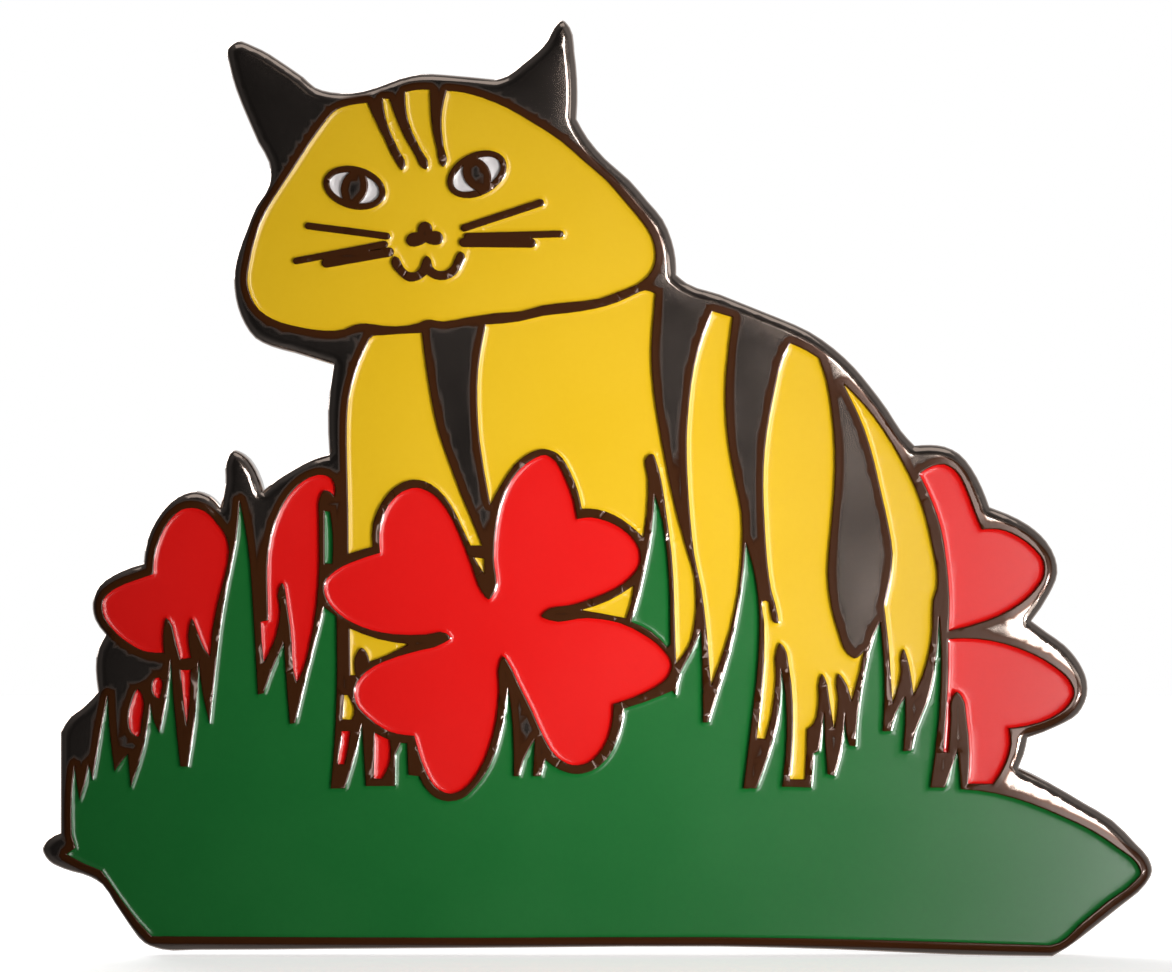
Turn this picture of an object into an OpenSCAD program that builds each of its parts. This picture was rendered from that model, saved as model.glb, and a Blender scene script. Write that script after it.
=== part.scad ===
// Soft enamel pin: a striped cat sitting in the grass with two red flowers.
// A die-struck plate has raised metal lines and recessed pockets. Each pocket holds
// one enamel fill. Two posts are soldered into seats in the back, and a butterfly
// clutch sits on each post.
// The face looks toward -Y and the top is +Z. The origin is on the back face,
// midway between the two posts.

/* [Plate] */
// Width of the whole pin
pin_w = 38; // [32:0.5:50]
// How far the middle of the drawing lies above the two posts
art_rise = 3.5; // [2.5:0.25:5]
// Thickness of the plate, back face to the tops of the metal lines
plate_t = 1.6; // [1.3:0.05:2.4]
// Depth of the struck pockets
pocket_depth = 0.5; // [0.3:0.05:0.6]
// How far the enamel lies below the metal lines
enamel_drop = 0.14; // [0.05:0.01:0.25]

/* [Posts] */
// Distance between the two post centres
post_spacing = 15; // [13.5:0.5:17]
// Length of a post from the back face to its tip
post_length = 8; // [7:0.5:10]
// Diameter of the post shank
post_d = 1.15; // [0.9:0.05:1.3]
// Diameter of the foot that is soldered to the plate
foot_d = 3.8; // [3:0.1:4.5]
// Thickness of the foot
foot_t = 0.5; // [0.4:0.05:0.7]
// Depth of the round seat in the back of the plate
seat_depth = 0.4; // [0.3:0.05:0.5]
// Width of the solder all round the foot
solder_w = 0.2; // [0.1:0.05:0.4]
// Length of the pointed tip
tip_length = 1; // [0.6:0.1:1.4]
// Distance from the end of the post back to the middle of its groove
groove_back = 1.7; // [1.4:0.1:2]
// Width of the groove
groove_w = 0.3; // [0.2:0.05:0.4]
// Depth of the groove
groove_depth = 0.12; // [0.08:0.01:0.16]

/* [Clutches] */
// Diameter of the clutch dish
dish_d = 11.3; // [10:0.1:12]
// Thickness of the sheet that the dish and cap are pressed from
sheet_t = 0.4; // [0.3:0.05:0.5]
// Height of the rolled lip of the dish
lip_h = 1; // [0.7:0.1:1.4]
// Outer diameter of the collar round the hole in the dish
collar_d = 2.6; // [2.2:0.1:3]
// Height of that collar
collar_h = 0.75; // [0.6:0.05:0.9]
// Radial clearance between a post and its clutch
post_clearance = 0.06; // [0.02:0.01:0.1]
// Gap between the post tip and the roof of the cap when the clutch is home
tip_gap = 0.25; // [0.1:0.05:0.5]
// Height of the cap above the dish
cap_h = 5; // [4.6:0.1:5.6]
// Length of the cap across the dish, along the wings
cap_l = 5; // [4:0.1:6]
// Width of one wing
wing_w = 3.8; // [3:0.1:4.2]
// Thickness of a wing
wing_t = 0.4; // [0.3:0.05:0.5]
// Distance of a wing's hinge from the post's axis
hinge_out = 1.55; // [1.45:0.05:1.7]
// Height of a wing's hinge above the front of the dish
hinge_up = 3.2; // [3:0.1:3.4]
// Diameter of the hinge barrel
barrel_d = 1; // [0.9:0.05:1.1]
// Diameter of the hinge pin
hinge_pin_d = 0.6; // [0.5:0.05:0.7]
// Radial clearance of the hinge pin in the cap
hinge_clearance = 0.05; // [0.02:0.01:0.08]
// How far a wing reaches from the post's axis
wing_reach = 6.2; // [5.6:0.1:7]
// Height of a wing's end above the front of the dish
wing_rise = 5.4; // [5:0.1:6]
// Side gap between a wing and the walls of the cap
side_gap = 0.15; // [0.1:0.05:0.3]

/* [Colours] */
// Black plated metal
metal_colour = "#3b3434"; // ["#3b3434", "#2a2526", "#b08d45"]
// Yellow enamel
yellow_colour = "#f0c82d"; // ["#f0c82d", "#e8a020"]
// Red enamel
red_colour = "#e3241c"; // ["#e3241c", "#b01018"]
// Green enamel
green_colour = "#1c7a2a"; // ["#1c7a2a", "#2f5fa0"]
// White enamel
white_colour = "#ece8e6"; // ["#ece8e6", "#ffffff"]
// Plated back hardware
clutch_colour = "#c9a24e"; // ["#c9a24e", "#b9bcc0"]
// Plated solder
solder_colour = "#9a9a98"; // ["#9a9a98", "#3b3434"]

/* [Hidden] */
// Width at which the artwork below is drawn
art_w = 37;
art_scale = pin_w / art_w;
// Largest gap between a drawn curve and its straight steps
flatness = 0.007;
$fn = 48;
pocket_floor = plate_t - pocket_depth;
enamel_t = pocket_depth - enamel_drop;
post_r = post_d / 2;
foot_r = foot_d / 2;
bore_r = post_r + post_clearance;
dish_r = dish_d / 2;
// Height of the front of each dish above the back face when the clutch is home
clutch_home = post_length + tip_gap - cap_h + sheet_t;
cap_w = wing_w + 2 * side_gap + 2 * sheet_t;
// Outer radius of the cap's rounded shoulders
cap_shoulder = 1.2;
// The lip of the dish turns at these two heights
lip_low = lip_h * 0.3;
lip_mid = lip_h * 0.6;
// The lip is thinned a little as it is rolled up
lip_t = sheet_t * 0.9;
// Width lost from the top of the collar, which is drawn to a slight cone
collar_taper = 0.15;
// Distance of each jaw's end from the middle plane between the two wings
jaw_gap = 0.1;
// Height of the jaws above the collar
jaw_lift = 0.35;
// Height of the jaw's end face
jaw_h = 1;
// Length and rise of the flatter end of a finger tab
tab_end = 1;
// Radius of the blunt end of a post's point
point_r = 0.05;

// ---- curve tools ----

function xz(p) = [p[0], p[1]];
function is_corner(p) = len(p) > 2;

// Direction of a smooth curve at b, between its neighbours a and c
function heading(a, b, c) =
    let (u = b - a, v = c - b, du = norm(u), dv = norm(v))
    (u * dv / du + v * du / dv) / (du + dv);

function turn(u, v) =
    let (d = u * v / (norm(u) * norm(v)))
    acos(max(-1, min(1, d)));

function on_curve(p, q, m, n, t) =
    let (a = 1 - t)
    p * a * a * (1 + 2 * t) + q * t * t * (3 - 2 * t) + m * t * a * a - n * t * t * a;

// Steps of the curve from b to c, where a comes before and d comes after
function curve_step(a, b, c, d) =
    let (
        p = xz(b), q = xz(c), l = norm(q - p), chord = (q - p) / l,
        into = heading(xz(a), p, q), out = heading(p, q, xz(d)),
        m = is_corner(b) ? (is_corner(c) ? chord : 1.5 * chord - 0.5 * out) : into,
        n = is_corner(c) ? (is_corner(b) ? chord : 1.5 * chord - 0.5 * into) : out,
        bend = (turn(m, chord) + turn(n, chord)) * PI / 180,
        steps = max(1, ceil(sqrt(l * bend / 8 / flatness)))
    )
    [for (k = [0 : steps - 1]) on_curve(p, q, m * l, n * l, k / steps)];

// Closed outline through the points: [x, z] is smooth and [x, z, 1] is a corner
function outline(p) =
    let (n = len(p))
    [for (i = [0 : n - 1])
        each curve_step(p[(i + n - 1) % n], p[i], p[(i + 1) % n], p[(i + 2) % n])];

module shape(p) {
    scale(art_scale) polygon(outline(p));
}

// Round-ended bar from a to b
function bar(a, b, w) =
    let (d = (b - a) / norm(b - a), s = atan2(d[1], d[0]), r = w / 2)
    concat(
        [for (k = [-3 : 3]) b + r * [cos(s + 30 * k), sin(s + 30 * k)]],
        [for (k = [3 : 9]) a + r * [cos(s + 30 * k), sin(s + 30 * k)]]);

function ellipse(centre, a, b, tilt) =
    [for (k = [0 : 31])
        let (s = a * cos(k * 11.25), t = b * sin(k * 11.25))
        centre + [s * cos(tilt) - t * sin(tilt), s * sin(tilt) + t * cos(tilt)]];

module drawn(p) {
    scale(art_scale) polygon(p);
}

// ---- artwork: the outer edge ----

module silhouette() {
    shape([
        // left ear and crown
        [-12.43, 17.4], [-12.1, 17.65], [-11.6, 17.5], [-11, 17.2], [-10.4, 16.8], [-9.9, 16.45],
        [-9.5, 16.1], [-9, 15.95], [-8.3, 15.92], [-7.5, 16.1], [-6.7, 16.4], [-6, 16.55],
        [-5.2, 16.53], [-4.3, 16.45], [-3.5, 16.37, 1],
        // right ear
        [-3.1, 16.5], [-2.6, 16.88], [-2.1, 17.3], [-1.75, 17.7], [-1.55, 18.1], [-1.25, 18.35],
        [-1, 18.1], [-0.85, 17.3], [-0.76, 16.4], [-0.75, 15.6], [-0.78, 15.05, 1],
        // right of the face
        [-0.4, 14.4], [0.2, 13.7], [1, 13], [1.6, 12.3], [2.1, 11.7], [2.4, 11], [2.53, 10.4],
        [2.55, 9.85, 1],
        // back
        [2.9, 9.57], [4, 9.2], [5, 8.8], [6, 8.4], [7, 7.95], [7.8, 7.4], [8.5, 6.75], [9, 6.15],
        [9.6, 5.35], [10.05, 4.65], [10.5, 4.15, 1],
        // upper right petal
        [11, 4.18], [11.5, 4.12], [12, 3.87], [12.4, 3.4], [12.75, 2.75], [13, 2.1, 1],
        [13.6, 1.87], [14.3, 1.5], [14.9, 0.95], [15.2, 0.4], [15.27, -0.1], [15, -0.8], [14.4, -1.7, 1],
        // lower right petal
        [14.9, -2.07], [15.5, -2.5], [16, -3.1], [16.25, -3.7], [16.25, -4.2], [15.95, -4.8],
        [15.3, -5.2], [14.27, -5.6, 1], [14.15, -6.15], [13.97, -6.6, 1],
        // point of the grass
        [15, -7.1], [16.2, -7.8], [17.1, -8.35], [17.9, -9.15], [18.3, -9.6], [18.43, -10.05],
        [18.2, -10.5], [17.4, -11.2], [16.4, -12], [15.6, -12.6], [15.1, -12.9, 1],
        // bottom edge
        [12, -12.85], [8, -12.67], [4, -12.57], [-2, -12.6], [-9, -12.65], [-13.5, -12.68],
        [-14.6, -12.67], [-15.2, -12.45], [-15.7, -11.85], [-16.2, -11.1], [-16.6, -10.5], [-17, -10.25],
        [-17.9, -9.97], [-18.4, -9.7], [-18.6, -9.3], [-18.4, -8.95], [-18, -8.75, 1],
        // left side of the grass
        [-18, -7], [-18, -5.4, 1], [-17.65, -4.85], [-17.3, -4.6], [-16.75, -4.05, 1],
        [-16.73, -2.6], [-16.5, -2.15, 1],
        // left heart petal
        [-16.85, -1.65], [-16.93, -1.1], [-16.7, -0.5], [-16, -0.03], [-15.23, 0.23, 1],
        [-15.1, 1.05], [-14.7, 1.85], [-14.1, 2.45], [-13.45, 2.63], [-12.95, 2.42], [-12.67, 2.1, 1],
        // blade and inner petal
        [-12.5, 2.9], [-12.48, 3.6], [-12.25, 4], [-11.9, 3.87], [-11.45, 3.3], [-11.23, 2.65, 1],
        [-10.8, 3.02], [-10.3, 3.33], [-9.6, 3.7], [-9.03, 3.87, 1],
        // chest and chin
        [-9.08, 5.3], [-8.9, 6.85, 1], [-10.2, 7.25], [-11, 7.47], [-11.5, 7.73], [-11.85, 8.2],
        [-12.08, 8.75], [-12.2, 9.4], [-12.2, 10], [-12.07, 10.6], [-11.8, 11.35], [-11.5, 12.1],
        [-11.05, 12.85], [-11, 13.2], [-11.05, 13.6], [-11.4, 14.25], [-11.75, 15.05],
        [-12.15, 16.05], [-12.37, 16.85]
    ]);
}

// ---- artwork: metal that stands inside the face ----

left_eye = [-8.18, 12.74];
left_eye_tilt = -15;
right_eye = [-4.1, 13.19];
right_eye_tilt = 28;
// Half sizes of the ring, of its opening and of the pupil
eye_ring = [1.06, 0.71];
eye_open = [0.85, 0.48];
eye_pupil = [0.45, 0.58];

module eye_ring_shape(centre, tilt) {
    drawn(ellipse(centre, eye_ring[0], eye_ring[1], tilt));
}

// Opening of an eye on one side of the pupil, where side is -1 or 1
module eye_white_shape(centre, tilt, side) {
    far = centre + side * [cos(tilt), sin(tilt)];
    difference() {
        intersection() {
            drawn(ellipse(centre, eye_open[0], eye_open[1], tilt));
            drawn(ellipse(far, 1, 1, tilt));
        }
        drawn(ellipse(centre, eye_pupil[0], eye_pupil[1], tilt));
    }
}

module face_lines() {
    eye_ring_shape(left_eye, left_eye_tilt);
    eye_ring_shape(right_eye, right_eye_tilt);
    // nose
    shape([[-5.82, 11.62], [-5.63, 11.52], [-5.58, 11.3, 1], [-5.33, 11.27], [-5.22, 11.07],
        [-5.32, 10.87], [-5.55, 10.83], [-5.8, 10.92, 1], [-6.05, 10.8], [-6.33, 10.79],
        [-6.47, 10.98], [-6.37, 11.19], [-6.08, 11.27, 1], [-6.02, 11.52]]);
    // mouth
    shape([[-6.95, 10.3], [-6.7, 9.85], [-6.35, 9.61], [-6, 9.68], [-5.77, 9.85, 1],
        [-5.5, 9.69], [-5.15, 9.67], [-4.8, 9.85], [-4.6, 10.2], [-4.5, 10.5], [-4.65, 10.62],
        [-4.78, 10.5], [-4.9, 10.2], [-5.1, 10], [-5.4, 9.98], [-5.58, 10.12], [-5.63, 10.35],
        [-5.77, 10.48], [-5.9, 10.35], [-5.98, 10.1], [-6.2, 9.92], [-6.42, 9.97], [-6.6, 10.2],
        [-6.7, 10.4], [-6.85, 10.46]]);
    // whiskers
    drawn(bar([-9.72, 11.47], [-7.1, 11.13], 0.24));
    drawn(bar([-10.12, 10.3], [-7.17, 10.86], 0.23));
    drawn(bar([-9.12, 10.23], [-7.02, 10.6], 0.32));
    drawn(bar([-4.52, 11.4], [-1.98, 12.24], 0.25));
    drawn(bar([-4.42, 11.12], [-1.32, 11.2], 0.23));
    drawn(bar([-4.54, 10.92], [-2.29, 10.9], 0.32));
}

// ---- artwork: yellow cells ----

module face_shape() {
    difference() {
        shape([
            // forehead, cut by three stripes that hang from the crown
            [-8.75, 15.35], [-8.4, 15.47], [-7.75, 15.57, 1],
            [-7.5, 15], [-7.15, 14.3], [-6.75, 13.5], [-6.6, 13.32], [-6.48, 13.5], [-6.7, 14],
            [-6.98, 14.6], [-7.15, 15.15], [-7.23, 15.7, 1], [-7.02, 15.7, 1],
            [-6.85, 15.2], [-6.5, 14.4], [-6.15, 13.8], [-5.92, 13.4], [-5.8, 13.35],
            [-5.72, 13.48], [-5.95, 14], [-6.25, 14.6], [-6.43, 15.2], [-6.48, 15.92, 1],
            [-6.1, 16], [-5.67, 16, 1],
            [-5.64, 15.3], [-5.57, 14.6], [-5.42, 14], [-5.34, 13.55], [-5.23, 13.43],
            [-5.12, 13.55], [-5.2, 14.1], [-5.27, 14.7], [-5.25, 15.3], [-5.1, 15.97, 1],
            // right side
            [-4.5, 15.9], [-3.9, 15.73], [-3.1, 15.4], [-2.2, 14.88], [-1.3, 14.3], [-0.5, 13.6],
            [0.25, 12.95], [0.9, 12.2], [1.4, 11.6], [1.72, 11.1], [1.85, 10.55], [1.82, 10.2],
            [1.6, 9.8], [1.2, 9.5], [0.6, 9.27],
            // jaw
            [0, 9.05], [-1, 8.93], [-1.9, 8.82], [-2.6, 8.63], [-3.5, 8.56], [-4.4, 8.42],
            [-5.2, 8.28], [-5.8, 8.34], [-6.05, 8.23], [-7.2, 8.14], [-7.8, 8.22], [-8.15, 8.18],
            [-8.5, 8.03], [-9.4, 8], [-10, 8.1], [-10.9, 8.37], [-11.35, 8.67], [-11.62, 9.1],
            [-11.75, 9.65], [-11.68, 10.2], [-11.5, 11], [-11.3, 11.6], [-10.9, 12.35],
            [-10.4, 13.1], [-9.9, 13.87], [-9.3, 14.75]
        ]);
        face_lines();
    }
}

module left_chest_shape() {
    shape([
        [-7.55, 7.8], [-7.3, 7.82], [-6.6, 7.87], [-5.93, 7.9, 1],
        [-5.85, 7.2], [-5.75, 6.5], [-5.6, 5.6], [-5.4, 4.7], [-5.05, 3.65], [-4.6, 2.45],
        [-4.2, 1.5], [-3.93, 0.82, 1], [-4.3, 0.82, 1],
        [-4.6, 1.45], [-4.95, 2.15], [-5.4, 2.7], [-5.85, 2.97], [-6.35, 3], [-6.85, 2.75],
        [-7.3, 2.2], [-7.56, 1.55], [-7.58, 0.78, 1],
        [-8.05, 0.65], [-8.37, 0.55, 1], [-8.38, 2], [-8.42, 3.6], [-8.43, 4.8], [-8.37, 5.7],
        [-8.15, 6.6], [-7.85, 7.35]
    ]);
}

module right_chest_shape() {
    shape([
        [-3.8, 8.18, 1], [-2.7, 8.28], [-1.9, 8.47], [-1.1, 8.56], [-0.2, 8.7], [0.6, 8.93],
        [1.15, 9.18], [1.5, 9.32], [1.85, 9.2, 1],
        [1.78, 8.4], [1.71, 7.4], [1.73, 6.6], [1.85, 5.5], [2.05, 4.3], [2.3, 3], [2.6, 1.7],
        [2.9, 0.65], [3.15, -0.2], [3.2, -0.9], [3.15, -1.8], [2.95, -2.55], [2.55, -3.1, 1],
        [2.52, -2.4], [2.48, -1], [2.4, 0.5], [2.2, 2], [2.05, 3], [1.92, 3.5], [1.73, 3.88],
        [1.57, 3.8], [1.6, 3], [1.57, 2], [1.45, 1.1, 1],
        [1, 1.5], [0.5, 1.83], [-0.05, 2.02], [-0.6, 2.05, 1], [-0.72, 2.6], [-1, 3.3],
        [-1.4, 3.88], [-1.85, 4.04], [-2.35, 3.9], [-2.85, 3.5], [-3.2, 3], [-3.65, 2.2, 1],
        [-3.85, 3.3], [-4, 4.3], [-4.08, 5.5], [-4.05, 6.7], [-3.93, 7.5]
    ]);
}

module chest_triangle_shape() {
    shape([[-4.18, 0.42, 1], [-3.86, 0.38, 1], [-3.86, -0.12, 1]]);
}

module flank_front_shape() {
    shape([
        [3.75, 8.62, 1], [4.42, 8.42, 1],
        [4.3, 7.5], [4.2, 6.5], [4.18, 5.5], [4.28, 4.2], [4.5, 3], [4.72, 1.9], [4.73, 0.7],
        [4.62, -0.6], [4.35, -1.95], [4, -3.05], [3.7, -3.85, 1],
        [3.65, -3.1], [3.55, -1.9], [3.4, -0.7], [3.15, 0.5], [3.02, 1.7], [2.92, 3.2],
        [2.9, 4.4], [2.98, 5.6], [3.15, 6.8], [3.42, 7.8]
    ]);
}

module flank_rear_shape() {
    shape([
        [6.35, 7.55, 1], [6.9, 7.3], [7.3, 7.05, 1],
        [7.55, 6.3], [7.73, 5.2], [7.83, 4], [7.8, 2.6], [7.68, 1.2], [7.58, -0.1], [7.7, -1.2],
        [7.95, -2.1], [8.25, -2.8], [8.48, -2.95], [8.8, -2.7, 1],
        [8.65, -3.4], [8.38, -4.35, 1], [8.1, -3.6], [7.95, -3.45], [7.87, -3.65], [7.93, -4.3],
        [7.8, -5.27, 1], [7.65, -4.3], [7.5, -3.6], [7.4, -3.46], [7.32, -3.6], [7.28, -4.4],
        [7.12, -5.1], [6.9, -5.3, 1], [6.88, -6.1], [6.83, -6.97, 1], [6.33, -6.97, 1],
        [6.43, -5.6], [6.43, -4.4], [6.3, -3.2], [6.13, -2.55], [6, -2.43], [5.88, -2.65],
        [5.86, -3.6], [5.72, -4.8], [5.5, -5.62, 1], [5.23, -5.6, 1],
        [5.35, -4.5], [5.48, -3], [5.48, -1.8], [5.5, -1.02], [5.6, -1.05], [5.68, -1.4],
        [5.8, -1.75], [5.93, -1.78], [5.93, -1.5], [5.72, -0.7], [5.58, 0.3], [5.5, 1.5],
        [5.45, 2.8], [5.5, 4], [5.65, 5.1], [5.85, 6.1], [6.1, 7.1]
    ]);
}

module haunch_shape() {
    shape([
        [8.12, 6.2, 1], [8.8, 5.5], [9.45, 4.65], [10.05, 3.65], [10.5, 2.75], [10.85, 1.75],
        [11.07, 0.8], [11.23, -0.05], [11.22, -0.6], [11.1, -1], [11.07, -1.9], [10.95, -2.8],
        [10.75, -3.5], [10.45, -4.15, 1], [10.35, -3.4], [10.22, -2.85], [10.12, -2.63],
        [10.03, -2.8], [10.02, -3.4], [9.75, -4.42, 1], [9.7, -3.6], [9.63, -2.5], [9.48, -1.2, 1],
        [9.65, -0.4], [9.76, 0.55], [9.65, 1.35], [9.4, 2.5], [9.15, 3.6], [8.8, 4.75], [8.4, 5.65]
    ]);
}

module under_petal_shape() {
    shape([[-8.33, -1.95, 1], [-7.4, -2.3], [-6.4, -2.47, 1], [-7, -2.78], [-7.68, -3.05, 1],
        [-7.76, -2.75], [-7.95, -2.58], [-8.1, -2.75], [-8.15, -3.5, 1], [-8.31, -3.5, 1]]);
}

module petal_chip_shape() {
    shape([[-8.52, -4.17, 1], [-8.4, -4.17, 1], [-8.2, -4.82], [-8.28, -4.98, 1], [-8.58, -4.97, 1]]);
}

module petal_gap_shape() {
    shape([[-0.6, -1.33, 1], [0.3, -1.02], [1.12, -0.52, 1], [1.03, -1.1], [0.87, -1.6, 1], [0.1, -1.45]]);
}

// ---- artwork: red cells ----

module front_flower_shape() {
    shape([
        // upper left petal
        [-3.7, -0.98], [-3.92, -0.75], [-4.25, 0.1], [-4.65, 1.15], [-5.1, 2.03], [-5.55, 2.52],
        [-6.1, 2.74], [-6.6, 2.6], [-7.05, 2.15], [-7.3, 1.55], [-7.33, 0.57, 1],
        [-8.1, 0.32], [-8.8, -0.02], [-9.18, -0.45], [-9.15, -0.85], [-8.7, -1.45], [-7.9, -1.9],
        [-6.9, -2.13], [-5.8, -2.15], [-5.12, -2.1], [-4.98, -2.25], [-5.2, -2.43],
        // lower left petal
        [-6.2, -2.73], [-7.2, -3.05], [-7.8, -3.4], [-8.17, -3.95], [-8.13, -4.4], [-7.7, -4.92],
        [-7, -5.38], [-6.18, -5.52, 1], [-6.05, -6], [-5.8, -6.7], [-5.5, -7.2], [-5, -7.45],
        [-4.55, -7.3], [-4.1, -6.8], [-3.72, -6], [-3.45, -5], [-3.36, -4], [-3.33, -3.05],
        [-3.22, -2.87], [-3.1, -3],
        // lower right petal
        [-2.75, -3.7], [-2.25, -4.7], [-1.9, -5.5], [-1.45, -6.2], [-0.9, -6.5], [-0.4, -6.42],
        [0.1, -5.93], [0.38, -5.2], [0.45, -4.47, 1], [1.1, -4.25], [1.8, -3.92], [2.27, -3.55],
        [2.4, -3.15], [2.1, -2.65], [1.5, -2.17], [0.7, -1.78], [-0.4, -1.6], [-1.7, -1.67],
        [-1.95, -1.53], [-1.82, -1.37],
        // upper right petal
        [-0.9, -1.15], [0, -0.85], [0.85, -0.4], [1.33, 0.2], [1.33, 0.65], [0.95, 1.2],
        [0.3, 1.6], [-0.3, 1.75], [-0.75, 1.7, 1], [-0.87, 2.3], [-1.15, 3.05], [-1.45, 3.6],
        [-1.8, 3.83], [-2.3, 3.65], [-2.8, 3.2], [-3.2, 2.5], [-3.45, 1.5], [-3.53, 0.4],
        [-3.5, -0.7]
    ]);
}

module left_petal_shape() {
    shape([
        [-13.6, 2.07], [-13.2, 1.97], [-12.75, 1.55], [-12.43, 1.05], [-12.36, 0.6], [-12.5, -0.2],
        [-12.76, -1.2], [-12.92, -2.1], [-13, -2.87, 1], [-13.18, -2.6], [-13.45, -1.95],
        [-13.6, -1.62], [-13.68, -1.85], [-13.63, -2.92, 1], [-13.97, -2.97, 1],
        [-14.15, -2.3], [-14.35, -1.68], [-14.45, -1.6], [-14.52, -1.85], [-14.53, -2.75, 1],
        [-15.1, -2.72], [-15.7, -2.43], [-16.25, -1.95], [-16.55, -1.45], [-16.55, -1],
        [-16.15, -0.62], [-15.5, -0.35], [-14.88, -0.13, 1], [-14.85, 0.4], [-14.65, 1.1],
        [-14.3, 1.7], [-13.95, 2]
    ]);
}

module left_petal_long_chip_shape() {
    shape([[-15.38, -3.98], [-15.23, -4.25], [-15.27, -4.95], [-15.42, -5.55], [-15.6, -5.4],
        [-15.7, -4.95], [-15.6, -4.4]]);
}

module left_petal_small_chip_shape() {
    shape([[-14.68, -3.58], [-14.58, -3.75], [-14.62, -4.05], [-14.7, -4.28], [-14.85, -4.15],
        [-14.9, -3.85], [-14.82, -3.62]]);
}

module left_petal_strip_shape() {
    shape([[-13.97, -3.33, 1], [-13.63, -3.33, 1], [-13.66, -4.2], [-13.77, -5.17, 1], [-13.87, -4.4]]);
}

module inner_petal_shape() {
    shape([
        [-9.25, 3.17], [-8.95, 3.05], [-8.82, 2.75], [-8.85, 2.45, 1], [-9, 2.62], [-9.2, 2.65],
        [-9.34, 2.4], [-9.37, 1.7], [-9.35, 0.3], [-9.45, -1.2], [-9.65, -2.4], [-9.9, -3.35],
        [-10.1, -3.75, 1], [-10.22, -3.3], [-10.27, -2.4], [-10.4, -1.3], [-10.62, -0.45],
        [-10.7, -0.6], [-10.66, -1.4], [-10.78, -2.15], [-11.2, -3.08, 1], [-11.27, -2.4],
        [-11.3, -1.73, 1], [-11.05, -1.68, 1], [-11.07, -0.8], [-11.08, 0.1], [-10.95, 1.15],
        [-10.65, 2], [-10.2, 2.68], [-9.7, 3.07]
    ]);
}

module grass_chip_narrow_shape() {
    shape([[-8.6, -5.37, 1], [-8.32, -5.37, 1], [-8.4, -5.95], [-8.52, -6.47, 1], [-8.73, -6.47, 1]]);
}

module grass_chip_wide_shape() {
    shape([[-7.5, -5.43, 1], [-7, -5.67, 1], [-7.03, -6.5], [-7.27, -6.95, 1], [-7.53, -6.95, 1]]);
}

module right_upper_petal_shape() {
    shape([
        [10.65, 3.2, 1], [11.05, 3.45], [11.45, 3.52], [11.85, 3.3], [12.2, 2.7], [12.5, 1.9],
        [12.73, 1.35, 1], [13.3, 1.35], [13.95, 1.1], [14.45, 0.72], [14.77, 0.3], [14.8, -0.12],
        [14.45, -0.7], [13.75, -1.27], [12.9, -1.67], [11.63, -2.02, 1], [11.65, -0.9],
        [11.55, 0.3], [11.37, 1.4], [11.07, 2.3]
    ]);
}

module right_lower_petal_shape() {
    shape([
        [11.62, -2.3, 1], [12.6, -2.3], [13.5, -2.47], [14.4, -2.8], [15.15, -3.23],
        [15.65, -3.7], [15.8, -4.1], [15.6, -4.5], [15.05, -4.92], [14.3, -5.17], [13.63, -5.27, 1],
        [13.68, -5.8], [13.5, -6.45], [13.1, -7.12, 1], [12.27, -7.12, 1], [12.32, -6.1],
        [12.22, -4.95], [12.06, -4.2], [11.9, -4.05], [11.75, -4.2], [11.68, -5],
        [11.6, -6.07, 1], [11.45, -6.07, 1], [11.55, -4.7], [11.62, -3.3]
    ]);
}

// ---- artwork: green cells ----

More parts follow.
